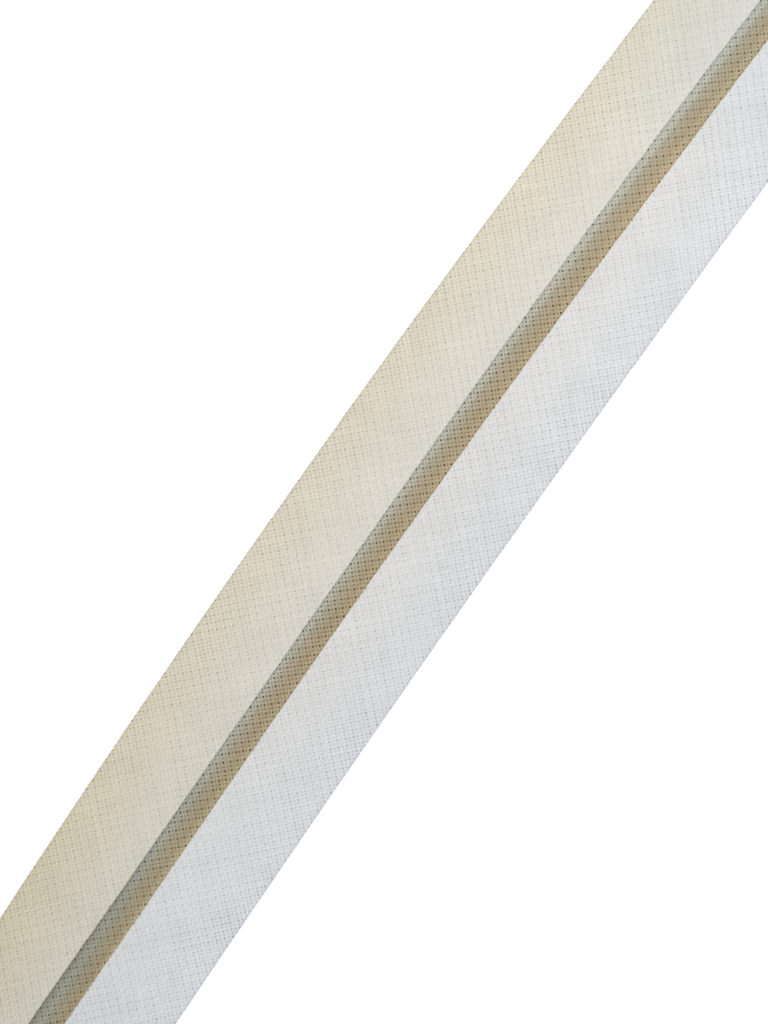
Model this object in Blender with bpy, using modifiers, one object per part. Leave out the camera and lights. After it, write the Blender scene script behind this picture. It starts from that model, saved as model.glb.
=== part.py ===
"""A cut length of single-fold bias tape, lying flat with its folds uppermost.

The tape is one strip of plain-woven cotton whose two long edges are pressed in
towards the middle. A narrow channel stays open between the two raw edges, and
both raw edges stand a little proud of the layer under them.

Metres, +Z up. +X runs along the tape and +Y across it. The origin is at the
middle of the underside.
"""

import math
from collections import namedtuple

import bpy

# Sizes that drive the shape
LENGTH = 0.140  # the cut length, measured along the tape
CLOTH = 0.001  # one layer
AIR = 0.0003  # between two layers at a fold
BOW_RADIUS = 1.7  # the long sideways curve in which the tape lies

# A flange rises from its fold in a low arch. Its slope at the fold and at its raw
# edge, as multiples of its mean slope, which lie evenly about 1
SLOPE_AT_FOLD = 1.7
SLOPE_AT_EDGE = 0.3

# Faces along each stretch of the section, and along the tape
FLANGE_FACES = 5
FOLD_FACES = 8
BASE_FACES = 8
LENGTH_FACES = 40

COTTON = (0.72, 0.69, 0.62, 1.0)
COTTON_ROUGHNESS = 0.9

# The tape isn't quite even. A row for each measured section:
#   along        distance from the middle of the tape
#   half_width   from the middle line to either fold
#   upper_edge   from the middle line to the raw edge on the +Y side
#   lower_edge   from the middle line to the raw edge on the -Y side
#   upper_lift   how far the +Y raw edge stands above its fold
#   lower_lift   how far the -Y raw edge stands above its fold
Section = namedtuple(
    "Section", "along half_width upper_edge lower_edge upper_lift lower_lift"
)
SECTIONS = (
    Section(-0.070, 0.00980, 0.00215, 0.00082, 0.00120, 0.00050),
    Section(-0.056, 0.00985, 0.00192, 0.00096, 0.00105, 0.00055),
    Section(-0.045, 0.00992, 0.00163, 0.00115, 0.00085, 0.00065),
    Section(-0.030, 0.00998, 0.00144, 0.00125, 0.00070, 0.00075),
    Section(-0.010, 0.01000, 0.00134, 0.00128, 0.00065, 0.00080),
    Section(0.010, 0.00998, 0.00139, 0.00132, 0.00070, 0.00075),
    Section(0.030, 0.00986, 0.00147, 0.00135, 0.00080, 0.00070),
    Section(0.048, 0.00972, 0.00149, 0.00139, 0.00085, 0.00075),
    Section(0.070, 0.00960, 0.00146, 0.00144, 0.00080, 0.00085),
)


def curve_through(before, start, end, after, share):
    """A smooth value between start and end, heading the way its neighbours do."""
    leave = (end - before) / 2
    arrive = (after - start) / 2
    square = share * share
    cube = square * share
    return (
        (2 * cube - 3 * square + 1) * start
        + (cube - 2 * square + share) * leave
        + (3 * square - 2 * cube) * end
        + (cube - square) * arrive
    )


def section_at(along):
    """The section at a distance along the tape, read smoothly from the table."""
    last = len(SECTIONS) - 2
    row = 0
    while row < last and SECTIONS[row + 1].along < along:
        row += 1
    start, end = SECTIONS[row], SECTIONS[row + 1]
    before = SECTIONS[max(row - 1, 0)]
    after = SECTIONS[min(row + 2, len(SECTIONS) - 1)]
    share = (along - start.along) / (end.along - start.along)
    values = [
        curve_through(*four, share)
        for four in zip(before[1:], start[1:], end[1:], after[1:])
    ]
    return Section(along, *values)


def folded_side(half_width, edge, lift):
    """One side of the section as (across, up), from its raw edge round the fold.

    The points follow the middle of the cloth's thickness.
    """
    fold_radius = (CLOTH + AIR) / 2
    fold_across = half_width - CLOTH / 2 - fold_radius
    fold_up = CLOTH / 2 + fold_radius
    rise = math.atan(SLOPE_AT_FOLD * lift / (fold_across - edge))
    start_across = fold_across + fold_radius * math.sin(rise)
    start_up = fold_up + fold_radius * math.cos(rise)
    levelling = (SLOPE_AT_FOLD - SLOPE_AT_EDGE) / 2
    points = []
    for step in range(FLANGE_FACES):
        share = 1 - step / FLANGE_FACES
        across = start_across + (edge - start_across) * share
        up = start_up + lift * (SLOPE_AT_FOLD - levelling * share) * share
        points.append((across, up))
    for step in range(FOLD_FACES + 1):
        angle = math.pi / 2 - rise - (math.pi - rise) * step / FOLD_FACES
        across = fold_across + fold_radius * math.cos(angle)
        points.append((across, fold_up + fold_radius * math.sin(angle)))
    return points


def section_points(section):
    """The whole section, from the lower raw edge under the tape to the upper one."""
    lower = folded_side(section.half_width, section.lower_edge, section.lower_lift)
    upper = folded_side(section.half_width, section.upper_edge, section.upper_lift)
    points = [(-across, up) for across, up in lower]
    start, end = points[-1][0], upper[-1][0]
    for step in range(1, BASE_FACES):
        points.append((start + (end - start) * step / BASE_FACES, CLOTH / 2))
    points.extend(reversed(upper))
    return points


def placed(along, across, up):
    """A point of the section, set on the bowed line along which the tape lies."""
    turn = along / BOW_RADIUS
    reach = BOW_RADIUS + across
    return (reach * math.sin(turn), reach * math.cos(turn) - BOW_RADIUS, up)


def centred(points):
    """The points moved so that their box is centred on the origin, seen from above."""
    middles = []
    for axis in (0, 1):
        values = [point[axis] for point in points]
        middles.append((min(values) + max(values)) / 2)
    return [(x - middles[0], y - middles[1], z) for x, y, z in points]


def folded_strip():
    """The strip's middle surface, lofted through its sections."""
    points = []
    rows = LENGTH_FACES + 1
    for row in range(rows):
        along = LENGTH * (row / LENGTH_FACES - 0.5)
        section = section_points(section_at(along))
        points.extend(placed(along, across, up) for across, up in section)
    columns = len(points) // rows
    faces = []
    for row in range(LENGTH_FACES):
        for column in range(columns - 1):
            corner = row * columns + column
            faces.append((corner, corner + 1, corner + columns + 1, corner + columns))
    mesh = bpy.data.meshes.new("tape")
    mesh.from_pydata(centred(points), [], faces)
    mesh.shade_smooth()
    return mesh


def cotton():
    material = bpy.data.materials.new("cotton")
    material.use_nodes = True
    shader = material.node_tree.nodes["Principled BSDF"]
    shader.inputs["Base Color"].default_value = COTTON
    shader.inputs["Roughness"].default_value = COTTON_ROUGHNESS
    shader.inputs["Metallic"].default_value = 0.0
    return material


def make_tape(collection):
    tape = bpy.data.objects.new("tape", folded_strip())
    tape.data.materials.append(cotton())
    collection.objects.link(tape)
    thickness = tape.modifiers.new("cloth_thickness", "SOLIDIFY")
    thickness.thickness = CLOTH
    thickness.offset = 0.0
    thickness.use_even_offset = True
    thickness.use_rim = True
    return tape


def main():
    for item in list(bpy.data.objects):
        bpy.data.objects.remove(item)
    collection = bpy.data.collections.new("folded_bias_tape")
    bpy.context.scene.collection.children.link(collection)
    make_tape(collection)


main()
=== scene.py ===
# %% [markdown]
# # A folded bias tape, woven yarn by yarn
#
# Bias tape is a strip of plain-woven cotton, cut at 45 degrees to its yarns so that it
# stretches round a curve. Both long edges are pressed in, and the two raw edges leave a
# narrow channel between them. The picture is so close that every yarn shows. A smooth
# sheet with a weave painted on it would have no holes to see through and no cut ends, so
# here the cloth is made of its yarns: they are woven flat, one over and one under, and
# then the flat cloth is folded, as the real strip is on a tape maker.

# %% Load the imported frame
import math
from collections import namedtuple

import bpy
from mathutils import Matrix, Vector


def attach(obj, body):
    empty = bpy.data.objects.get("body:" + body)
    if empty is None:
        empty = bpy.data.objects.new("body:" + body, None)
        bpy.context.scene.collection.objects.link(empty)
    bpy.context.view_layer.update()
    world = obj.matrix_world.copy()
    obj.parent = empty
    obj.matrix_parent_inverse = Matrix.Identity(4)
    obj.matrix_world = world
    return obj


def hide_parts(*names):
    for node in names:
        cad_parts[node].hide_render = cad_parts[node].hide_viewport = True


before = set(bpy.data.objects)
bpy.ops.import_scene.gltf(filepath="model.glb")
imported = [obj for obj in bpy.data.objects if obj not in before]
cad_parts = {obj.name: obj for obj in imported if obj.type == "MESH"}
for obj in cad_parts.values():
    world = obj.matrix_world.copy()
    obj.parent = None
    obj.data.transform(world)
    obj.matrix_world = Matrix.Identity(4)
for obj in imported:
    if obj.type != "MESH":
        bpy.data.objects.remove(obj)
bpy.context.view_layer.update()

# %% [markdown]
# ## Measured sections
#
# The tape isn't quite even: its width, its raw edges and their lift change a little along
# it. They are kept as a table with a row for each place that was measured, in metres. The
# +Y side of the tape is called upper here, and the -Y side lower. An edge is a raw edge's
# distance from the middle line, and its lift is how far it stands above its fold.

# %% Table of sections
LENGTH = 0.140
BOW_RADIUS = 1.7  # the long sideways curve in which the tape lies

Section = namedtuple(
    "Section", "along half_width upper_edge lower_edge upper_lift lower_lift"
)
SECTIONS = (
    Section(-0.070, 0.00980, 0.00215, 0.00082, 0.00120, 0.00050),
    Section(-0.056, 0.00985, 0.00192, 0.00096, 0.00105, 0.00055),
    Section(-0.045, 0.00992, 0.00163, 0.00115, 0.00085, 0.00065),
    Section(-0.030, 0.00998, 0.00144, 0.00125, 0.00070, 0.00075),
    Section(-0.010, 0.01000, 0.00134, 0.00128, 0.00065, 0.00080),
    Section(0.010, 0.00998, 0.00139, 0.00132, 0.00070, 0.00075),
    Section(0.030, 0.00986, 0.00147, 0.00135, 0.00080, 0.00070),
    Section(0.048, 0.00972, 0.00149, 0.00139, 0.00085, 0.00075),
    Section(0.070, 0.00960, 0.00146, 0.00144, 0.00080, 0.00085),
)
print("the widest section is", 2000 * max(row.half_width for row in SECTIONS), "mm")

# %% [markdown]
# ## A smooth curve through the table
#
# Straight lines between the rows would leave a corner in the folds at each row. Each
# stretch is a cubic curve instead, which leaves a row in the direction that its two
# neighbours give.

# %% Read the table at any place


def curve_through(before, start, end, after, share):
    leave = (end - before) / 2
    arrive = (after - start) / 2
    square = share**2
    cube = share**3
    return (
        (2 * cube - 3 * square + 1) * start
        + (cube - 2 * square + share) * leave
        + (3 * square - 2 * cube) * end
        + (cube - square) * arrive
    )


def section_at(along):
    last = len(SECTIONS) - 2
    row = 0
    while row < last and SECTIONS[row + 1].along < along:
        row += 1
    start = SECTIONS[row]
    end = SECTIONS[row + 1]
    before = SECTIONS[max(row - 1, 0)]
    after = SECTIONS[min(row + 2, last + 1)]
    share = (along - start.along) / (end.along - start.along)
    rows = zip(before[1:], start[1:], end[1:], after[1:])
    return Section(along, *(curve_through(*four, share) for four in rows))


print("half width at 20 mm:", round(section_at(0.020).half_width * 1000, 3), "mm")

# %% [markdown]
# ## How thick the cloth is
#
# The cloth is as thick as two flattened yarns where they cross. Each fold is pressed, so
# its radius is small, but not zero: two layers lie inside it. Between its folds the base
# stands a little off the table, because pressed cloth is never quite flat. That dark
# space is what makes the holes in the channel show.

# %% Cloth and fold sizes
CRIMP = 0.000036  # how far a yarn swings to either side of the middle of the cloth
YARN_THICK = 0.00008
HALF_CLOTH = CRIMP + YARN_THICK * 0.6  # with room for the thick places in a yarn
FOLD_RADIUS = 0.00022  # to the middle of the cloth
BASE_ARCH = 0.00035
print("cloth:", round(2 * HALF_CLOTH * 1000, 3), "mm thick")

# %% [markdown]
# ## One side of the section
#
# The section is followed along the middle of the cloth. A flange is an arch, steep at its
# fold and nearly level at its raw edge, and then comes the round of the fold. Each point
# also gets the direction that faces into the fold, because a yarn on that side of the
# cloth has to stay on it.

# %% From the raw edge round the fold
SLOPE_AT_FOLD = 1.7  # as multiples of a flange's mean slope
SLOPE_AT_EDGE = 0.3
FLANGE_STEPS = 24
FOLD_STEPS = 16
SPARE = 0.0012  # the former is this much larger than the cloth, all round


def folded_side(half_width, edge, lift):
    """(across, up, inward direction) from beyond the raw edge, round the fold."""
    fold_across = half_width - HALF_CLOTH - FOLD_RADIUS
    fold_up = HALF_CLOTH + FOLD_RADIUS
    rise = math.atan(SLOPE_AT_FOLD * lift / (fold_across - edge))
    start_across = fold_across + FOLD_RADIUS * math.sin(rise)
    start_up = fold_up + FOLD_RADIUS * math.cos(rise)
    run = edge - start_across
    levelling = (SLOPE_AT_FOLD - SLOPE_AT_EDGE) / 2
    shares = [1 + SPARE / abs(run)]
    shares += [1 - step / FLANGE_STEPS for step in range(FLANGE_STEPS)]
    points = []
    for share in shares:
        up = start_up + lift * (SLOPE_AT_FOLD - levelling * share) * share
        lean = math.atan(lift * (SLOPE_AT_FOLD - 2 * levelling * share) / run)
        inward = (math.sin(lean), -math.cos(lean))
        points.append((start_across + run * share, up, inward))
    for step in range(FOLD_STEPS + 1):
        angle = math.pi / 2 - rise - (math.pi - rise) * step / FOLD_STEPS
        out = (math.cos(angle), math.sin(angle))
        across = fold_across + FOLD_RADIUS * out[0]
        up = fold_up + FOLD_RADIUS * out[1]
        points.append((across, up, (-out[0], -out[1])))
    return points


print("points on one side:", len(folded_side(0.010, 0.0013, 0.0007)))

# %% [markdown]
# ## The whole section
#
# The lower side, the arched base and the upper side make one line, from raw edge to raw
# edge. Its length is the width to which the strip was cut.

# %% Join the two sides
BASE_STEPS = 40


def section_points(section):
    lower = folded_side(section.half_width, section.lower_edge, section.lower_lift)
    upper = folded_side(section.half_width, section.upper_edge, section.upper_lift)
    points = [(-across, up, (-inward[0], inward[1])) for across, up, inward in lower]
    start = points[-1][0]
    end = upper[-1][0]
    reach = (end - start) / 2
    for step in range(1, BASE_STEPS):
        share = 2 * step / BASE_STEPS - 1
        up = HALF_CLOTH + BASE_ARCH * (1 - share**2) ** 2
        lean = math.atan(-4 * BASE_ARCH * share * (1 - share**2) / reach)
        inward = (-math.sin(lean), math.cos(lean))
        points.append(((start + end) / 2 + reach * share, up, inward))
    return points + upper[::-1]


def distances(points):
    """How far round the section each point lies from the lower raw edge."""
    found = [-SPARE]
    for one, other in zip(points, points[1:]):
        found.append(found[-1] + math.hypot(other[0] - one[0], other[1] - one[1]))
    return found


middle_distances = distances(section_points(section_at(0.0)))
CUT_WIDTH = middle_distances[-1] - SPARE
FOLD_REACH = CUT_WIDTH / 2 - middle_distances[1 + FLANGE_STEPS + FOLD_STEPS // 2]
print("the strip was cut", round(CUT_WIDTH * 1000, 2), "mm wide")
print("its folds lie", round(FOLD_REACH * 1000, 2), "mm from its middle")

# %% [markdown]
# ## The tape's bow
#
# The tape lies in a slight sideways curve. A Curve modifier could bend a straight strip
# along it, but an arc takes only a sine and a cosine. The section is set square to the arc,
# and the strip is moved so that its box is centred on the origin, as the solid's is.

# %% Bow the strip


def placed(along, across, up):
    turn = along / BOW_RADIUS
    reach = BOW_RADIUS + across
    return Vector((reach * math.sin(turn), reach * math.cos(turn) - BOW_RADIUS, up))


sides = [
    placed(along, side * section_at(along).half_width, 0.0).y
    for along in (-LENGTH / 2, 0.0, LENGTH / 2)
    for side in (-1, 1)
]
TO_MIDDLE = Vector((0.0, -(min(sides) + max(sides)) / 2, 0.0))
print("the strip moves", round(TO_MIDDLE.y * 1000, 3), "mm to its box's middle")

# %% [markdown]
# ## The former
#
# A tape maker is a metal former that folds the strip as it is pulled through. The former
# here is a thin surface with the folded shape. Its UV map holds, for each of its points,
# the place on the flat cloth that ends up there. Anything that is made on the flat cloth
# can look up where it goes. Bend modifiers could fold a strip too, but then the yarns
# would bunch up at the folds.

# %% Make the former
FORMER_ROWS = 142
FLAT_SPAN = 0.150  # the stretch of flat cloth that fills the UV square
ALONG_START = 0.5  # where the middle of the tape lies in the square
ACROSS_START = 0.1  # and where the lower raw edge does


def make_former():
    points = []
    inwards = []
    flat = []
    for row in range(FORMER_ROWS + 1):
        along = (LENGTH + 2 * SPARE) * (row / FORMER_ROWS - 0.5)
        turn = along / BOW_RADIUS
        section = section_points(section_at(along))
        for (across, up, inward), distance in zip(section, middle_distances):
            points.append(placed(along, across, up) + TO_MIDDLE)
            inwards += [inward[0] * math.sin(turn), inward[0] * math.cos(turn), inward[1]]
            flat.append((along / FLAT_SPAN + ALONG_START, distance / FLAT_SPAN + ACROSS_START))
    columns = len(middle_distances)
    faces = [
        (corner, corner + columns, corner + columns + 1, corner + 1)
        for row in range(FORMER_ROWS)
        for corner in range(row * columns, (row + 1) * columns - 1)
    ]
    mesh = bpy.data.meshes.new("former")
    mesh.from_pydata(points, [], faces)
    mesh.attributes.new("inward", "FLOAT_VECTOR", "POINT").data.foreach_set("vector", inwards)
    uv = mesh.uv_layers.new(name="flat").uv
    for loop in mesh.loops:
        uv[loop.index].vector = flat[loop.vertex_index]
    former = bpy.data.objects.new("former", mesh)
    bpy.context.scene.collection.objects.link(former)
    return former


former = make_former()
print("former:", len(former.data.polygons), "faces")

# %% [markdown]
# ## Helpers for node trees
#
# Geometry Nodes make the yarns, because there are hundreds of them and each follows the
# same rule. A tree is easier to read as code when each node takes one call, so a small
# class adds a node, feeds it, and gives back what comes out. The finish uses it as well.
# Its report says how far a tree has grown.

# %% Add, feed and combine


class Nodes:
    """Adds nodes to one tree and feeds each as it is made."""

    def __init__(self, tree):
        self.tree = tree

    def add(self, kind, inputs=(), output=0, **settings):
        """An output of a new node. A socket given for an input is linked to it."""
        node = self.tree.nodes.new(kind)
        for name, value in settings.items():
            setattr(node, name, value)
        for place, value in dict(inputs).items():
            if isinstance(value, bpy.types.NodeSocket):
                self.tree.links.new(value, node.inputs[place])
            else:
                node.inputs[place].default_value = value
        return node.outputs[output] if len(node.outputs) else None

    def math(self, operation, *values):
        return self.add("ShaderNodeMath", enumerate(values), operation=operation)

    def vector(self, operation, *values):
        return self.add("ShaderNodeVectorMath", enumerate(values), operation=operation)

    def scaled(self, vector, scale):
        return self.add("ShaderNodeVectorMath", {0: vector, "Scale": scale}, operation="SCALE")

    def combined(self, x, y, z=0.0):
        return self.add("ShaderNodeCombineXYZ", enumerate((x, y, z)))

    def parts(self, vector):
        node = self.tree.nodes.new("ShaderNodeSeparateXYZ")
        self.tree.links.new(vector, node.inputs[0])
        return node.outputs

    def report(self):
        print("nodes so far:", len(self.tree.nodes))


def helpers(kind):
    return ", ".join(name for name in vars(kind) if not name.startswith("_"))


print("for any tree:", helpers(Nodes))

# %% [markdown]
# ## Smooth changes and chance
#
# Cloth has no hard borders between an open and a close weave, or between one tint and the
# next, so a value goes from one amount to another along a smooth curve. Chance comes from
# a noise texture, which gives the same result each time the script runs.

# %% Change smoothly, by rule or by chance
NOISE_MEAN = 0.5


class PatternNodes(Nodes):
    """Helpers for a pattern over the cloth."""

    def between(self, value, start, end, first, last):
        """A smooth change from first to last as the value goes from start to end."""
        ends = {"From Min": start, "From Max": end, "To Min": first, "To Max": last}
        return self.add(
            "ShaderNodeMapRange", {"Value": value, **ends}, interpolation_type="SMOOTHSTEP"
        )

    def noise(self, dimensions, place, scale, detail=1.0, socket="Vector"):
        """Smooth chance, from about -0.5 to 0.5."""
        found = self.add(
            "ShaderNodeTexNoise",
            {socket: place, "Scale": scale, "Detail": detail},
            noise_dimensions=dimensions,
        )
        return self.math("SUBTRACT", found, NOISE_MEAN)


print("for a pattern:", helpers(PatternNodes))

# %% [markdown]
# ## Marks on the geometry
#
# A yarn's number has to stay with it while the yarn is copied, moved, cut and swept. A
# named attribute does that: it's stored once, and read wherever it is needed.

# %% Store, read, move and delete


class YarnNodes(PatternNodes):
    """Helpers for the tree that weaves."""

    def named(self, name, kind="FLOAT"):
        return self.add("GeometryNodeInputNamedAttribute", {"Name": name}, data_type=kind)

    def store(self, geometry, name, value, domain="POINT", kind="FLOAT"):
        return self.add(
            "GeometryNodeStoreNamedAttribute",
            {"Geometry": geometry, "Name": name, "Value": value},
            data_type=kind,
            domain=domain,
        )

    def moved(self, geometry, **places):
        return self.add("GeometryNodeSetPosition", {"Geometry": geometry, **places})

    def without(self, geometry, selection, domain="POINT"):
        return self.add(
            "GeometryNodeDeleteGeometry",
            {"Geometry": geometry, "Selection": selection},
            domain=domain,
        )


print("for yarns:", helpers(YarnNodes))

# %% [markdown]
# ## The weave's measures
#
# A plain weave has two sets of yarns. Each yarn passes over one crossing yarn and under
# the next, and its neighbour does the opposite. Warp and weft aren't alike: one set is
# finer and closer than the other. In the picture they run nearly upright and nearly
# level, which gives them their names here. A pitch is the distance from one yarn to the
# next.

# %% Directions, pitches and widths
UPRIGHT = 43.4  # the direction of one set on the flat cloth, in degrees from its length
LEVEL = -46.4  # and of the other set
UPRIGHT_PITCH = 0.000341
LEVEL_PITCH = 0.000404
UPRIGHT_WIDE = 0.000295
LEVEL_WIDE = 0.000352
SEED = 11
print("yarns to the cm:", [round(0.01 / pitch) for pitch in (UPRIGHT_PITCH, LEVEL_PITCH)])

# %% [markdown]
# ## The inputs of the weave's tree
#
# One tree makes a group of yarns of either set, and the cells after this one build it a
# step at a time. Whatever differs between the sets, or may want tuning, is a named input.
# Four of the widths are shares of a yarn's full width. The weave is open in the channel
# and near the folds. It closes a little towards the raw edges, where the pressed cloth
# has relaxed, and towards both ends of the channel.

# %% Named inputs
WEAVE_INPUTS = {
    "First yarn": ("Int", 0),
    "Yarns": ("Int", 10),
    "First step": ("Int", 0),
    "Steps": ("Int", 10),
    "Own pitch": ("Float", 0.0004),
    "Own angle": ("Float", 0.0),
    "Other pitch": ("Float", 0.0004),
    "Other angle": ("Float", 1.57),
    "Swing": ("Float", CRIMP),
    "Width": ("Float", 0.0003),
    "Thickness": ("Float", YARN_THICK),
    "Channel width": ("Float", 0.875),
    "Channel end width": ("Float", 0.93),
    "Fold width": ("Float", 0.875),
    "Edge width": ("Float", 0.95),
    "Own seed": ("Float", 0.0),
    "Other seed": ("Float", 0.0),
    "Length": ("Float", LENGTH),
    "Cut width": ("Float", CUT_WIDTH),
    "Fold reach": ("Float", FOLD_REACH),
    "Edge fray": ("Float", 0.00002),
    "End fray": ("Float", 0.00015),
    "Wander": ("Float", 0.13),
    "Channel pairing": ("Float", 0.058),
    "Flange pairing": ("Float", 0.035),
    "Drift": ("Float", 0.0002),
    "Slub": ("Float", 0.3),
    "Former": ("Object", None),
    "Finish": ("Material", None),
}

weave_tree = bpy.data.node_groups.new("woven_yarns", "GeometryNodeTree")
for label, (socket_kind, value) in WEAVE_INPUTS.items():
    socket = weave_tree.interface.new_socket(
        name=label, in_out="INPUT", socket_type="NodeSocket" + socket_kind
    )
    if value is not None:
        socket.default_value = value
weave_tree.interface.new_socket(name="Cloth", in_out="OUTPUT", socket_type="NodeSocketGeometry")
given = weave_tree.nodes.new("NodeGroupInput").outputs
weave = YarnNodes(weave_tree)
print("the weave's tree has", len(WEAVE_INPUTS), "inputs")

# %% [markdown]
# ## Straight yarns, side by side
#
# One straight yarn gets a point for each half crossing, and is copied for each yarn of the
# group. Every point keeps two numbers, its yarn's and its step along it, and everything
# that follows is worked out from these two.

# %% Lay the yarns
index = weave.add("GeometryNodeInputIndex")
position = weave.add("GeometryNodeInputPosition")

line = weave.add("GeometryNodeCurvePrimitiveLine")
line = weave.add(
    "GeometryNodeResampleCurve", {"Curve": line, "Count": given["Steps"]}, mode="COUNT"
)
line = weave.store(line, "step", weave.math("ADD", index, given["First step"]))
rows = weave.add("GeometryNodeMeshLine", {"Count": given["Yarns"]})
curves = weave.add("GeometryNodeInstanceOnPoints", {"Points": rows, "Instance": line})
curves = weave.store(curves, "yarn", weave.math("ADD", index, given["First yarn"]), "INSTANCE")
curves = weave.add("GeometryNodeRealizeInstances", {"Geometry": curves})
yarn = weave.named("yarn")
step = weave.named("step")
crossing = weave.math("MULTIPLY", step, 0.5)
weave.report()

# %% [markdown]
# ## Pairs of yarns
#
# In the picture every second gap between yarns is wider, most clearly in the channel, and
# the spacing wanders a little. A yarn's number is shifted by both. The same rule moves a
# yarn and whatever crosses it, so the two sets still meet where they should.

# %% Number to place
CHANNEL_ENDS = 0.002  # how far from the middle of the cloth the weave starts to close
FLANGE_STARTS = 0.004  # and where it is as close as in the flanges
WANDER_SCALE = 0.63


def flat_axis(turn, own, other):
    """One coordinate on the flat cloth, from distances square to and along a yarn."""
    own_part = weave.math("MULTIPLY", own, weave.math(turn, given["Other angle"]))
    other_part = weave.math("MULTIPLY", other, weave.math(turn, given["Own angle"]))
    return weave.math("ADD", own_part, other_part)


even_across = flat_axis(
    "SINE",
    weave.math("MULTIPLY", yarn, given["Own pitch"]),
    weave.math("MULTIPLY", crossing, given["Other pitch"]),
)
pairing = weave.between(
    weave.math("ABSOLUTE", even_across),
    CHANNEL_ENDS,
    FLANGE_STARTS,
    given["Channel pairing"],
    given["Flange pairing"],
)


def uneven(number, seed, pitch):
    wander = weave.noise("1D", weave.math("ADD", number, seed), WANDER_SCALE, socket="W")
    pair = weave.math("COSINE", weave.math("MULTIPLY", number, math.pi))
    shifted = weave.math("MULTIPLY_ADD", wander, given["Wander"], number)
    shifted = weave.math("MULTIPLY_ADD", pair, pairing, shifted)
    return weave.math("MULTIPLY", shifted, pitch)


own = uneven(yarn, given["Own seed"], given["Own pitch"])
other = uneven(crossing, given["Other seed"], given["Other pitch"])
weave.report()

# %% [markdown]
# ## Over and under
#
# A yarn's height is a cosine that turns by half a round at each crossing. Adding the
# yarn's number to the step makes its neighbour do the opposite, and the other set is given
# a swing of the other sign. Then a slow drift bends both sets together, as cloth does
# when it is handled.

# %% Swing past the crossings
DRIFT_SCALE = 90.0

middle = weave.math("MULTIPLY", given["Cut width"], 0.5)
along = flat_axis("COSINE", own, other)
across = weave.math("ADD", flat_axis("SINE", own, other), middle)
phase = weave.math("MULTIPLY", weave.math("ADD", crossing, yarn), math.pi)
height = weave.math("MULTIPLY", weave.math("COSINE", phase), given["Swing"])
curves = weave.moved(curves, Position=weave.combined(along, across, height))

drift = weave.add(
    "ShaderNodeTexNoise",
    {"Vector": position, "Scale": DRIFT_SCALE, "Detail": 1.0},
    output="Color",
)
drift = weave.vector("SUBTRACT", drift, (NOISE_MEAN,) * 3)
drift = weave.vector("MULTIPLY", drift, weave.combined(given["Drift"], given["Drift"]))
curves = weave.moved(curves, Offset=drift)
weave.report()

# %% [markdown]
# ## Where the shears cut
#
# The strip's long edges and its ends are cuts across the yarns, and each yarn ends a
# little earlier or later than the next. A Boolean could trim them, but it would be slow on
# so many yarns, and couldn't vary the cut. Instead each point past a cut is moved. Slide is
# its way back to the cut, along its own yarn. For a point inside the cloth it's zero.

# %% The way back to the cut
NUMBER_OFFSET = 1000.0  # added to a yarn's number, because a negative one is no valid ID

place = weave.parts(position)
from_middle = weave.math("SUBTRACT", place[1], middle)
chance = weave.add(
    "FunctionNodeRandomValue",
    {"Min": -1.0, "Max": 1.0, "ID": weave.math("ADD", yarn, NUMBER_OFFSET), "Seed": SEED},
    output=1,
    data_type="FLOAT",
)
half_length = weave.math("MULTIPLY", given["Length"], 0.5)
end_reach = weave.math("MULTIPLY_ADD", chance, given["End fray"], half_length)
edge_reach = weave.math("MULTIPLY_ADD", chance, given["Edge fray"], middle)


def way_back(reach, value):
    low = weave.math("MULTIPLY", reach, -1.0)
    kept = weave.math("MINIMUM", weave.math("MAXIMUM", value, low), reach)
    return weave.math("SUBTRACT", kept, value)


own_slope = weave.math("TANGENT", given["Own angle"])
end_slide = way_back(end_reach, place[0])
edge_slide = way_back(
    edge_reach, weave.math("MULTIPLY_ADD", end_slide, own_slope, from_middle)
)
slide = weave.combined(
    weave.math("ADD", end_slide, weave.math("DIVIDE", edge_slide, own_slope)),
    weave.math("MULTIPLY_ADD", end_slide, own_slope, edge_slide),
)
slide_length = weave.add(
    "ShaderNodeVectorMath", {0: slide}, output="Value", operation="LENGTH"
)
weave.report()

# %% [markdown]
# ## Points past a cut
#
# Of the points past a cut, only the first on each yarn is needed, and those beyond it go.
# The first is moved so far out that the whole width of the yarn is past the cut. The
# yarn's surface is cut back from there later.

# %% Find the points past the cut
OVERSHOOT = 0.6  # in yarn widths
NO_DISTANCE = 1e-7

overshoot = weave.math("MULTIPLY_ADD", given["Width"], -OVERSHOOT, slide_length)
moved_out = weave.scaled(weave.vector("NORMALIZE", slide), overshoot)
curves = weave.store(curves, "moved", moved_out, kind="FLOAT_VECTOR")
curves = weave.store(curves, "past", weave.math("GREATER_THAN", slide_length, NO_DISTANCE))
past = weave.named("past")
too_far = past
for neighbour in (-1.0, 1.0):
    beside = weave.add(
        "GeometryNodeFieldAtIndex",
        {"Index": weave.math("ADD", index, neighbour), "Value": past},
        data_type="FLOAT",
        domain="POINT",
    )
    too_far = weave.math("MULTIPLY", too_far, beside)
weave.report()

# %% [markdown]
# ## Points that do nothing
#
# Between two crossings a yarn is straight, so a point there is only kept near a fold,
# which the yarn has to go round. That saves nearly half of the faces. A scrap with fewer
# than four points left at a corner of the strip would fall off, so it's left out.

# %% Delete what isn't needed
FOLD_BAND = 0.0009  # the points between crossings stay this near to a fold
FEWEST_POINTS = 4
AT_CROSSING = 0.5  # the size of the cosine is 1 at a crossing and 0 half way to the next

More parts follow.
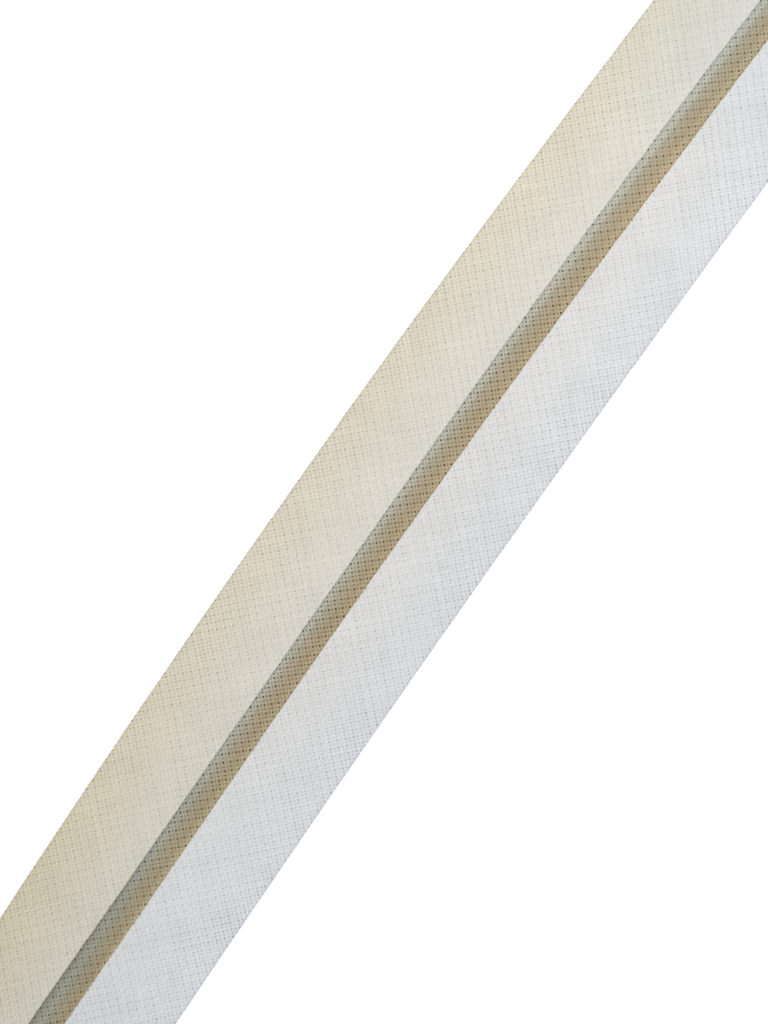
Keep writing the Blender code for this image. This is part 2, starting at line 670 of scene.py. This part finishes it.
half_way = weave.math(
    "LESS_THAN", weave.math("ABSOLUTE", weave.math("COSINE", phase)), AT_CROSSING
)
off_middle = weave.math("ABSOLUTE", from_middle)
off_fold = weave.math("ABSOLUTE", weave.math("SUBTRACT", off_middle, given["Fold reach"]))
off_fold = weave.math("GREATER_THAN", off_fold, FOLD_BAND)
inside = weave.math("SUBTRACT", 1.0, past)
unused = weave.math("MULTIPLY", half_way, weave.math("MULTIPLY", off_fold, inside))
curves = weave.without(curves, weave.math("MAXIMUM", too_far, unused))
curves = weave.moved(curves, Offset=weave.named("moved", "FLOAT_VECTOR"))
points_left = weave.add("GeometryNodeSplineLength", output="Point Count")
too_short = weave.math("LESS_THAN", points_left, FEWEST_POINTS)
curves = weave.without(curves, too_short, "CURVE")
weave.report()

# %% [markdown]
# ## A yarn's section
#
# Weaving and pressing flatten a yarn. Its section has only four corners, in this order:
# outer, side, inner, side. That is enough for hundreds of thousands of faces, because
# smooth shading rounds the outer and the inner ridge. Each corner keeps its number, for
# the twist of the fibres, and the corners at the closing face are marked.

# %% Four corners
CORNERS = 4
SAME_NUMBER = 0.1  # two whole numbers that differ by less are the same

section = weave.add("GeometryNodeCurvePrimitiveCircle", {"Resolution": CORNERS, "Radius": 1.0})
section = weave.store(section, "around", weave.math("DIVIDE", index, CORNERS))
first_corner = weave.math("COMPARE", index, 0.0, SAME_NUMBER)
last_corner = weave.math("COMPARE", index, CORNERS - 1, SAME_NUMBER)
corner_marks = weave.combined(first_corner, last_corner)
section = weave.store(section, "corner", corner_marks, kind="FLOAT_VECTOR")
section_size = weave.combined(
    weave.math("DIVIDE", given["Width"], 2.0),
    weave.math("DIVIDE", given["Thickness"], 2.0),
    1.0,
)
section = weave.add("GeometryNodeTransform", {"Geometry": section, "Scale": section_size})
weave.report()

# %% [markdown]
# ## Sweep it along the yarns
#
# Spun yarn is thicker in places, so the section is scaled by a slow noise along each yarn.
# It's also scaled by the place, which opens and closes the weave. The swept surface is
# then slid back to the cut, where it ends in a clean slant, as a cut yarn does.

# %% Sweep and cut
SLUB_ALONG = 0.045
YARN_APART = 7.31  # takes two neighbours to unlike places in a noise
OPEN_UNTIL = 0.018  # the channel starts to close this far along the tape from its middle
CLOSED_FROM = 0.045  # and is closest from here on
CLOSING_STARTS = 0.009  # the same across the cloth, from its middle
CLOSING_ENDS = 0.018

slub_place = weave.combined(
    weave.math("MULTIPLY", yarn, YARN_APART), weave.math("MULTIPLY", step, SLUB_ALONG)
)
slub = weave.noise("2D", slub_place, 1.0, detail=2.0)
thickness = weave.math("MULTIPLY_ADD", slub, given["Slub"], 1.0)
channel_width = weave.between(
    weave.math("ABSOLUTE", place[0]),
    OPEN_UNTIL,
    CLOSED_FROM,
    given["Channel width"],
    given["Channel end width"],
)
opening = weave.between(off_middle, CHANNEL_ENDS, FLANGE_STARTS, channel_width, 1.0)
closing = weave.between(
    off_middle, CLOSING_STARTS, CLOSING_ENDS, given["Fold width"], given["Edge width"]
)
thickness = weave.math("MULTIPLY", thickness, weave.math("MULTIPLY", opening, closing))

curves = weave.add("GeometryNodeSetCurveNormal", {"Curve": curves}, mode="Z_UP")
cloth = weave.add(
    "GeometryNodeCurveToMesh",
    {"Curve": curves, "Profile Curve": section, "Scale": thickness, "Fill Caps": True},
)
cloth = weave.moved(cloth, Offset=slide)
weave.report()

# %% [markdown]
# ## What the finish reads
#
# A pattern on Object coordinates would run straight through the folds. So the yarns carry
# their own: "thread" is the distance along the yarn, the turn round it and the yarn's
# number, and "cloth" is the place on the flat cloth. "inner" marks the side of the cloth
# that faces into the folds. The turn goes back to 0 at the closing face, where it should
# go on to 1, so it's stored for each corner of a face. A face takes the mean of its
# corners' marks, so one that has a marked ridge on one side holds a half.

# %% Store the marks
ONE_SIDE = 0.4  # just under a half
BOTH_SIDES = 0.1  # well under a half times a half

corner = weave.parts(weave.named("corner", "FLOAT_VECTOR"))
cloth = weave.store(cloth, "inner", weave.math("GREATER_THAN", corner[1], ONE_SIDE), "FACE")
both = weave.math(
    "GREATER_THAN", weave.math("MULTIPLY", corner[0], corner[1]), BOTH_SIDES
)
cloth = weave.store(cloth, "closing", both, "FACE")
gone_round = weave.math("MULTIPLY", weave.named("closing"), corner[0])
turned = weave.math("ADD", weave.named("around"), gone_round)
distance_along = weave.math("MULTIPLY", crossing, given["Other pitch"])
thread = weave.combined(distance_along, turned, yarn)
cloth = weave.store(cloth, "thread", thread, "CORNER", "FLOAT_VECTOR")
cloth = weave.store(cloth, "cloth", position, kind="FLOAT_VECTOR")
weave.report()

# %% [markdown]
# ## A map for baking
#
# Someone may want the finish as a picture, for a program that can't read these nodes. An
# automatic unwrap of hundreds of thin yarns would be slow and would waste most of the
# picture. This map gives each yarn a row of its own, from one cut edge of the strip to the
# other, with a small margin between the rows.

# %% Store the map
ROW_MARGIN = 0.08
MAP_MARGIN = 0.02

row = weave.math("SUBTRACT", yarn, given["First yarn"])
row_share = weave.math("MULTIPLY_ADD", turned, 1 - 2 * ROW_MARGIN, ROW_MARGIN)
across_share = weave.math("DIVIDE", place[1], given["Cut width"])
map_place = weave.combined(
    weave.math("MULTIPLY_ADD", across_share, 1 - 2 * MAP_MARGIN, MAP_MARGIN),
    weave.math("DIVIDE", weave.math("ADD", row, row_share), given["Yarns"]),
)
cloth = weave.store(cloth, "OFBake", map_place, "CORNER", "FLOAT2")
weave.report()

# %% [markdown]
# ## Fold the cloth
#
# Each point of the flat cloth looks up, on the former's map, where the middle of the cloth
# is there and which way is inward. It goes to that place, and then inward by the height
# that it has in the flat cloth.

# %% Look up the folded place
shape = weave.add("GeometryNodeObjectInfo", {"Object": given["Former"]}, output="Geometry")
looked_up = weave.combined(
    weave.math("ADD", weave.math("DIVIDE", place[0], FLAT_SPAN), ALONG_START),
    weave.math("ADD", weave.math("DIVIDE", place[1], FLAT_SPAN), ACROSS_START),
)
flat_map = weave.named("flat", "FLOAT_VECTOR")


def on_former(value):
    return weave.add(
        "GeometryNodeSampleUVSurface",
        {"Mesh": shape, "Value": value, "Source UV Map": flat_map, "Sample UV": looked_up},
        data_type="FLOAT_VECTOR",
    )


inward = weave.scaled(on_former(weave.named("inward", "FLOAT_VECTOR")), place[2])
folded = weave.vector("ADD", on_former(position), inward)
cloth = weave.moved(cloth, Position=folded)
cloth = weave.add("GeometryNodeRealizeInstances", {"Geometry": cloth})
cloth = weave.add(
    "GeometryNodeSetMaterial", {"Geometry": cloth, "Material": given["Finish"]}
)
weave.add("NodeGroupOutput", {0: cloth})
weave.report()

# %% [markdown]
# ## Cotton
#
# The cotton is off-white. The upper flange is painted creamier and the lower one cooler,
# as painted warm and cool light would colour them, and the two differ more towards the
# -X end. Towards the +X end it is all a little cooler. Between the flanges only one layer
# lies over the surface below, in the shade of the raised flanges, and light goes through it
# and comes back tan. So the channel is painted tan and darker, a painted shade of its walls,
# greyer next to the upper raw edge where that edge's shadow falls, and lighter right at
# that edge, a painted light against the shadow under it. Real translucence would depend on
# what lies under the tape, so the tan is a tint here, and only on the inner side of the
# cloth. Each line below is a place and a colour: across the cut width, and across the
# channel.

# %% Cotton tones
# cotton colour, with painted warm light on the upper flange and painted cool light on the lower
CLOTH_AND_LIGHT_TONES = (
    (0.00, (0.72, 0.71, 0.705)),
    (0.25, (0.715, 0.73, 0.75)),
    (0.75, (0.72, 0.67, 0.55)),
    (1.00, (0.71, 0.68, 0.615)),
)
# the same at the -X end, with stronger painted warm and cool light
CLOTH_AND_LIGHT_END_TONES = (
    (0.00, (0.72, 0.735, 0.75)),
    (0.25, (0.74, 0.765, 0.80)),
    (0.75, (0.70, 0.63, 0.48)),
    (1.00, (0.685, 0.65, 0.565)),
)
# painted shade and tan of the channel, with painted light at the upper raw edge against its
# shadow
CHANNEL_SHADE_AND_LIGHT = (
    (0.10, (0.845, 0.72, 0.51)),
    (0.38, (0.605, 0.505, 0.35)),
    (0.66, (0.605, 0.545, 0.43)),
    (0.90, (0.87, 0.86, 0.79)),
    (0.98, (1.0, 1.0, 0.96)),
)
# painted shade of the channel at the -X end, darker on the upper side where that flange's shadow
# falls
CHANNEL_END_SHADE_AND_LIGHT = (
    (0.10, (0.95, 0.88, 0.66)),
    (0.38, (0.555, 0.485, 0.335)),
    (0.66, (0.50, 0.48, 0.375)),
    (0.90, (0.58, 0.59, 0.555)),
)
END_STARTS = -0.010  # where the tones of the -X end begin, along the tape
END_FULL = -0.055  # and where they are full
COOL_STARTS = 0.042  # the same for the cooler tint of the +X end
COOL_FULL = 0.056
COOL_TINT = (0.935, 0.97, 1.0)
TINT_HALF = 0.0015  # the channel's tints are laid out this far to either side of the middle
TINT_FADES = 0.0026  # under the flanges the tint fades out, from here
TINT_GONE = 0.0036  # to here
print("tones across the cloth:", len(CLOTH_AND_LIGHT_TONES), "and the channel:", len(CHANNEL_SHADE_AND_LIGHT))

# %% [markdown]
# ## A colour ramp for the cloth
#
# A colour ramp turns a place across the cloth into a colour, and goes from stop to stop
# along a smooth curve. A picture could hold the same tones, but a ramp is a few numbers
# that are easy to change.

# %% Start the finish
cotton = bpy.data.materials.new("cotton")
cotton.use_nodes = True
cotton_nodes = PatternNodes(cotton.node_tree)


def attribute(name, output):
    node = cotton.node_tree.nodes.new("ShaderNodeAttribute")
    node.attribute_name = name
    return node.outputs[output]


def coloured_by(value, stops):
    ramp = cotton.node_tree.nodes.new("ShaderNodeValToRGB")
    cotton.node_tree.links.new(value, ramp.inputs["Fac"])
    ramp.color_ramp.interpolation = "EASE"
    points = ramp.color_ramp.elements
    for stop, _ in stops[1:-1]:
        points.new(stop)
    for point, (stop, colour) in zip(points, stops):
        point.position = stop
        point.color = (*colour, 1.0)
    return ramp.outputs["Color"]


def mixed(share, first, second, blend="MIX"):
    return cotton_nodes.add(
        "ShaderNodeMix",
        {0: share, 6: first, 7: second},
        output=2,
        data_type="RGBA",
        blend_type=blend,
    )


print("finish:", cotton.name)

# %% [markdown]
# ## The cloth's colour and painted light from place to place
#
# Two ramps, one for most of the tape and one for its -X end, are mixed by the place along
# the tape. Both hold the cotton's colour with painted warm and cool light.

# %% Tone across the cloth
cloth_place = attribute("cloth", "Vector")
cloth_parts = cotton_nodes.parts(cloth_place)
to_end = cotton_nodes.between(cloth_parts[0], END_FULL, END_STARTS, 1.0, 0.0)
share_across = cotton_nodes.math("DIVIDE", cloth_parts[1], CUT_WIDTH)
cloth_and_light_tone = mixed(
    to_end,
    coloured_by(share_across, CLOTH_AND_LIGHT_TONES),
    coloured_by(share_across, CLOTH_AND_LIGHT_END_TONES),
)
cotton_nodes.report()

# %% [markdown]
# ## The painted shade of the channel
#
# The painted shade and tan are laid over the tone by multiplying, as a thin shadow would
# be. They belong to the inner side of the cloth alone, and fade out under the flanges,
# where nobody would see where they end. The cooler tint of the +X end lies over all of it.

# %% Paint the channel's shade
from_line = cotton_nodes.math("SUBTRACT", cloth_parts[1], CUT_WIDTH / 2)
share_of_channel = cotton_nodes.add(
    "ShaderNodeMapRange",
    {"Value": from_line, "From Min": -TINT_HALF, "From Max": TINT_HALF},
)
channel_shade_and_light = mixed(
    to_end,
    coloured_by(share_of_channel, CHANNEL_SHADE_AND_LIGHT),
    coloured_by(share_of_channel, CHANNEL_END_SHADE_AND_LIGHT),
)
# the painted shade lies only on the inner side, in and near the channel
painted_shade_mask = cotton_nodes.between(cotton_nodes.math("ABSOLUTE", from_line), TINT_FADES, TINT_GONE, 1.0, 0.0)
painted_shade_mask = cotton_nodes.math("MULTIPLY", painted_shade_mask, attribute("inner", "Fac"))
tone = mixed(painted_shade_mask, cloth_and_light_tone, channel_shade_and_light, "MULTIPLY")
to_cool = cotton_nodes.between(cloth_parts[0], COOL_STARTS, COOL_FULL, 0.0, 1.0)
tone = mixed(to_cool, tone, (*COOL_TINT, 1.0), "MULTIPLY")
cotton_nodes.report()

# %% [markdown]
# ## Spun fibres
#
# Every yarn was spun from short fibres, so it's a little paler or darker than the next,
# has darker stretches, and shows fine twisted lines. The cloth as a whole is a little
# cloudy. Each of these is a noise. The fibres' noise is sheared by the distance along the
# yarn, which gives it the twist.

# %% Noise for cloth, yarn and fibre
CLOUD_SCALE = 220.0
STRETCH_SCALE = 140.0
FIBRE_ALONG = 1500.0
FIBRE_AROUND = 9.0
FIBRE_TWIST = 9000.0

thread_parts = cotton_nodes.parts(attribute("thread", "Vector"))
apart = cotton_nodes.math("MULTIPLY", thread_parts[2], YARN_APART)
cloud = cotton_nodes.noise("3D", cloth_place, CLOUD_SCALE, detail=2.0)
yarn_chance = cotton_nodes.add("ShaderNodeTexWhiteNoise", {"W": thread_parts[2]}, noise_dimensions="1D")
stretch_place = cotton_nodes.combined(cotton_nodes.math("MULTIPLY", thread_parts[0], STRETCH_SCALE), apart)
stretch = cotton_nodes.noise("2D", stretch_place, 1.0, detail=2.0)
fibre_turn = cotton_nodes.math(
    "ADD",
    cotton_nodes.math("MULTIPLY", thread_parts[1], FIBRE_AROUND),
    cotton_nodes.math("MULTIPLY", thread_parts[0], FIBRE_TWIST),
)
fibre_place = cotton_nodes.combined(
    cotton_nodes.math("MULTIPLY", thread_parts[0], FIBRE_ALONG), fibre_turn, apart
)
fibre = cotton_nodes.noise("3D", fibre_place, 1.0, detail=2.0)
cotton_nodes.report()

# %% [markdown]
# ## Brightness
#
# Each noise changes the brightness by a few hundredths. More would look like dirt: new
# cotton is nearly even, and most of what the eye sees is the light on the yarns.

# %% Paler and darker
YARN_CHANGE = 0.04
CLOUD_CHANGE = 0.12
STRETCH_CHANGE = 0.12
FIBRE_CHANGE = 0.12

brightness = cotton_nodes.math("MULTIPLY_ADD", yarn_chance, YARN_CHANGE, 1 - YARN_CHANGE / 2)
brightness = cotton_nodes.math("MULTIPLY_ADD", cloud, CLOUD_CHANGE, brightness)
brightness = cotton_nodes.math("MULTIPLY_ADD", stretch, STRETCH_CHANGE, brightness)
brightness = cotton_nodes.math("MULTIPLY_ADD", fibre, FIBRE_CHANGE, brightness)
grey = cotton_nodes.combined(brightness, brightness, brightness)
# the cotton's colour with its painted light and shade, times the brightness noise
colour_and_painted_light = mixed(1.0, tone, grey, "MULTIPLY")
cotton_nodes.report()

# %% [markdown]
# ## A dull, slightly fuzzy surface
#
# Cotton hardly shines, so it's rough, with little specular light. Sheen stands for the
# fine fuzz that catches light at a flat angle. The fibres raise the surface by a bump,
# because they are far too fine to model: a yarn holds about a hundred.

# %% Feed the shader
ROUGHNESS = 0.855
ROUGHNESS_CHANGE = 0.15
SPECULAR = 0.3
SHEEN = 0.15
FIBRE_HEIGHT = 0.00002
FIBRE_RELIEF = 0.35

relief = cotton_nodes.add(
    "ShaderNodeBump",
    {"Strength": FIBRE_RELIEF, "Distance": FIBRE_HEIGHT, "Height": fibre},
)
shader = cotton.node_tree.nodes["Principled BSDF"]
for socket_name, value in {
    "Base Color": colour_and_painted_light,
    "Roughness": cotton_nodes.math("MULTIPLY_ADD", fibre, ROUGHNESS_CHANGE, ROUGHNESS),
    "Normal": relief,
}.items():
    cotton.node_tree.links.new(value, shader.inputs[socket_name])
shader.inputs["Specular IOR Level"].default_value = SPECULAR
shader.inputs["Sheen Weight"].default_value = SHEEN
cotton_nodes.report()

# %% [markdown]
# ## The two sets of yarns
#
# Both sets come from the same tree. A set's seed belongs to its own spacing, so the tree is
# told the crossing set's seed too. The yarns that a set needs follow from the corners of
# the flat strip, measured along the set that it crosses.

# %% The sets
Set = namedtuple("Set", "name angle pitch wide seed swing")
level_set = Set("level", LEVEL, LEVEL_PITCH, LEVEL_WIDE, seed=71.9, swing=CRIMP)
upright_set = Set("upright", UPRIGHT, UPRIGHT_PITCH, UPRIGHT_WIDE, seed=5.3, swing=-CRIMP)
CROSSINGS = ((level_set, upright_set), (upright_set, level_set))
SPARE_YARNS = 3


def counts(own_set, cross_set):
    """The numbers of the first and the last yarn of a set."""
    turn = math.radians(cross_set.angle)
    reaches = [
        (x * math.cos(turn) + y * math.sin(turn)) / own_set.pitch
        for x in (-LENGTH / 2, LENGTH / 2)
        for y in (-CUT_WIDTH / 2, CUT_WIDTH / 2)
    ]
    return math.floor(min(reaches)) - SPARE_YARNS, math.ceil(max(reaches)) + SPARE_YARNS


for own_set, cross_set in CROSSINGS:
    print(own_set.name, "yarns are numbered", counts(own_set, cross_set))

# %% [markdown]
# ## Weave a group
#
# The tree is hung on an object as a modifier, its inputs are set, and the result is kept
# as a plain mesh, so the cloth needs no modifier afterwards. The sides of a yarn are
# sharp, because smooth shading across them would blur the outer and the inner face into
# one. Marks that only the tree needed are taken off.

# %% From tree to mesh
SHARP = math.radians(60)
SPENT_MARKS = ("step", "yarn", "around", "moved", "past", "corner", "closing")


def weave_group(own_set, cross_set, name, first, yarns):
    low, high = counts(cross_set, own_set)
    values = {
        "First yarn": first,
        "Yarns": yarns,
        "First step": 2 * low,
        "Steps": 2 * (high - low) + 1,
        "Own pitch": own_set.pitch,
        "Own angle": math.radians(own_set.angle),
        "Other pitch": cross_set.pitch,
        "Other angle": math.radians(cross_set.angle),
        "Swing": own_set.swing,
        "Width": own_set.wide,
        "Own seed": own_set.seed,
        "Other seed": cross_set.seed,
        "Former": former,
        "Finish": cotton,
    }
    piece = bpy.data.objects.new(name, bpy.data.meshes.new(name + "_start"))
    bpy.context.scene.collection.objects.link(piece)
    modifier = piece.modifiers.new("weave", "NODES")
    modifier.node_group = weave_tree
    for item in weave_tree.interface.items_tree:
        if item.name in values:
            modifier[item.identifier] = values[item.name]
    evaluated = piece.evaluated_get(bpy.context.evaluated_depsgraph_get())
    mesh = bpy.data.meshes.new_from_object(evaluated)
    piece.modifiers.clear()
    piece.data = mesh
    mesh.name = name
    mesh.set_sharp_from_angle(angle=SHARP)
    for mark in SPENT_MARKS:
        mesh.attributes.remove(mesh.attributes[mark])
    return piece


print("marks that are taken off:", len(SPENT_MARKS))

# %% [markdown]
# ## Six groups
#
# One mesh for the whole cloth would be too heavy to handle, so each set is made in three
# groups of whole yarns. No yarn is cut where two groups meet. The former has done its
# work then, and is taken away.

# %% Weave and fold
GROUPS = 3

pieces = []
for own_set, cross_set in CROSSINGS:
    first, last = counts(own_set, cross_set)
    yarns = math.ceil((last - first + 1) / GROUPS)
    for number in range(GROUPS):
        start = first + number * yarns
        name = f"{own_set.name}_yarns_{number + 1}"
        piece = weave_group(own_set, cross_set, name, start, yarns)
        pieces.append((piece, own_set, cross_set, start, yarns))
        triangles = sum(len(face.vertices) - 2 for face in piece.data.polygons)
        print(piece.name, yarns, "yarns,", triangles, "triangles")

bpy.data.objects.remove(former)

# %% [markdown]
# ## The groups' flat size
#
# A sheet's flat size is what it would measure before it was folded. For a group, that is
# the stretch of cloth that its yarns cross. Its area is the sum of its yarns' straight
# lengths times their spacing.

# %% Measure a group on the flat cloth


def cut_yarn(x, y, turn):
    """Where a straight line through (x, y) enters and leaves the flat strip."""
    starts = []
    stops = []
    for middle_place, way, reach in (
        (x, math.cos(turn), LENGTH / 2),
        (y, math.sin(turn), CUT_WIDTH / 2),
    ):
        ends = sorted(((-reach - middle_place) / way, (reach - middle_place) / way))
        starts.append(ends[0])
        stops.append(ends[1])
    return max(starts), min(stops)


def flat_cut(own_set, cross_set, first, yarns):
    """The length of cloth that the group's yarns reach, and their area."""
    turn = math.radians(own_set.angle)
    cross = math.radians(cross_set.angle)
    reached = []
    total = 0.0
    for number in range(first, first + yarns):
        x = number * own_set.pitch * math.cos(cross)
        y = number * own_set.pitch * math.sin(cross)
        start, stop = cut_yarn(x, y, turn)
        if start < stop:
            total += stop - start
            reached += [x + start * math.cos(turn), x + stop * math.cos(turn)]
    return max(reached) - min(reached), total * own_set.pitch


print("the whole strip, cut flat:", round(CUT_WIDTH * LENGTH * 1e6), "mm2")

# %% [markdown]
# ## The groups join the tape's body
#
# The six groups of folded cloth stand for the solid tape, which is hidden, and move with
# its body. Each prints its flat length and area.

for piece, own_set, cross_set, first, yarns in pieces:
    length, area = flat_cut(own_set, cross_set, first, yarns)
    print(piece.name, "flat", round(length * 1000, 1), "mm,", round(area * 1e6), "mm2")
    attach(piece, "root")
    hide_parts("tape")

# %% [markdown]
# ## White floor
#
# In the picture the tape lies on pure white. Under soft light plain white paper comes out
# pale grey, so this paper glows a little, like a lit table. It isn't part of the tape.

# %% Lay the floor
FLOOR_REACH = 2.0
PAPER_WHITE = (0.95, 0.95, 0.95)
PAPER_GLOW = 0.25


def paper(name, colour, glow):
    material = bpy.data.materials.new(name)
    material.use_nodes = True
    shader = material.node_tree.nodes["Principled BSDF"]
    shader.inputs["Base Color"].default_value = (*colour, 1.0)
    shader.inputs["Roughness"].default_value = 1.0
    shader.inputs["Emission Color"].default_value = (1.0, 1.0, 1.0, 1.0)
    shader.inputs["Emission Strength"].default_value = glow
    return material


def staged(name, points, faces, material):
    mesh = bpy.data.meshes.new(name)
    mesh.from_pydata(points, [], faces)
    mesh.materials.append(material)
    item = bpy.data.objects.new(name, mesh)
    bpy.context.scene.collection.objects.link(item)


floor_corners = [
    (x * FLOOR_REACH, y * FLOOR_REACH, 0.0) for x, y in ((-1, -1), (1, -1), (1, 1), (-1, 1))
]
white_paper = paper("white_paper", PAPER_WHITE, PAPER_GLOW)
staged("floor", floor_corners, [(0, 1, 2, 3)], white_paper)
print("floor:", 2 * FLOOR_REACH, "m square")

# %% [markdown]
# ## Brown card
#
# Through its holes the channel shows something brown below it. A narrow brown card lies
# there, bowed as the tape is, and stays hidden behind the tape from above. It isn't part
# of the tape either.

# %% Lay the card
CARD_LENGTH = LENGTH - 0.002
CARD_HALF = 0.0035
CARD_UP = 0.00002
CARD_STEPS = 20
CARD_BROWN = (0.26, 0.19, 0.115)

card_points = [
    placed(CARD_LENGTH * (step / CARD_STEPS - 0.5), side * CARD_HALF, CARD_UP) + TO_MIDDLE
    for step in range(CARD_STEPS + 1)
    for side in (-1, 1)
]
card_faces = [(2 * step, 2 * step + 2, 2 * step + 3, 2 * step + 1) for step in range(CARD_STEPS)]
staged("card", card_points, card_faces, paper("brown_card", CARD_BROWN, 0.0))
print("card:", round(2 * CARD_HALF * 1000, 1), "mm wide, under a 20 mm tape")

# %% [markdown]
# ## Soft light
#
# The picture has warm light from the upper left and cool light from the right, so the two
# flanges, which slope away from each other, differ in tint. Most of the light comes from a
# wide lamp close above, nearer to the +X end, because the tape gets darker towards the
# other end. The lamps are large discs, for soft shadows.

# %% Lamps
TAPE_ANGLE = math.radians(54.7)  # the tape's angle above the picture's level
WARM = (1.0, 0.90, 0.74)
COOL = (0.82, 0.92, 1.0)
WHITE = (1.0, 1.0, 1.0)


def lamp(name, colour, watts, azimuth, elevation, distance, size, aside=0.0):
    """A disc lamp aimed at the tape, aside from its middle towards +X.

    azimuth is in the picture: 0 right, 90 up.
    """
    data = bpy.data.lights.new(name, "AREA")
    data.shape = "DISK"
    data.size = size
    data.energy = watts
    data.color = colour
    item = bpy.data.objects.new(name, data)
    turn = math.radians(azimuth) - TAPE_ANGLE
    lift = math.radians(elevation)
    level = math.cos(lift)
    way = Vector((math.cos(turn) * level, math.sin(turn) * level, math.sin(lift)))
    item.location = way * distance + Vector((aside, 0.0, 0.0))
    item.rotation_euler = way.to_track_quat("Z", "Y").to_euler()
    bpy.context.scene.collection.objects.link(item)
    print(name, "lamp:", watts, "W at", distance, "m")


lamp("warm", WARM, watts=0.80, azimuth=125, elevation=50, distance=0.60, size=0.3)
lamp("cool", COOL, watts=1.08, azimuth=-15, elevation=50, distance=0.60, size=0.4)
lamp("above", WHITE, watts=0.37, azimuth=90, elevation=85, distance=0.25, size=0.2, aside=0.06)

# %% [markdown]
# ## The room
#
# A plain white world fills the shadows, as pale walls would. A picture of a real room
# would make no difference, because dull cotton reflects nothing of it.

# %% Fill light
ROOM_LIGHT = 0.22

world = bpy.data.worlds.new("room")
world.use_nodes = True
background = world.node_tree.nodes["Background"]
background.inputs["Color"].default_value = (*WHITE, 1.0)
background.inputs["Strength"].default_value = ROOM_LIGHT
bpy.context.scene.world = world
print("room light:", ROOM_LIGHT)

# %% [markdown]
# ## Camera
#
# The picture looks straight down on the tape and shows its middle, at about 0.1 mm to the
# pixel. A long lens keeps both flanges equally wide. The tape lies along X, so it is the
# camera that's turned, to make the tape climb to the right.

# %% Place the camera
LENS = 150.0
SENSOR = 36.0
MM_PER_PIXEL = 0.096
PICTURE_HEIGHT = 1024  # in pixels
VIEW_HEIGHT = PICTURE_HEIGHT * MM_PER_PIXEL / 1000
CAMERA_ASIDE = 0.00146

camera_data = bpy.data.cameras.new("camera")
camera_data.lens = LENS
camera_data.sensor_width = SENSOR
camera_data.clip_start = 0.01
camera = bpy.data.objects.new("camera", camera_data)
camera_up = VIEW_HEIGHT / 2 / (SENSOR / 2 / LENS)
camera.location = (0.0, TO_MIDDLE.y + CAMERA_ASIDE, camera_up)
camera.rotation_euler = (0.0, 0.0, -TAPE_ANGLE)
bpy.context.scene.collection.objects.link(camera)
bpy.context.scene.camera = camera
bpy.context.scene.view_settings.view_transform = "Standard"
print("camera:", round(camera_up, 3), "m above the tape")

# %% [markdown]
# ## Sizes
#
# The woven tape has to fill the same box as the solid. Its cloth is thinner than the
# solid's, so it is a little lower.
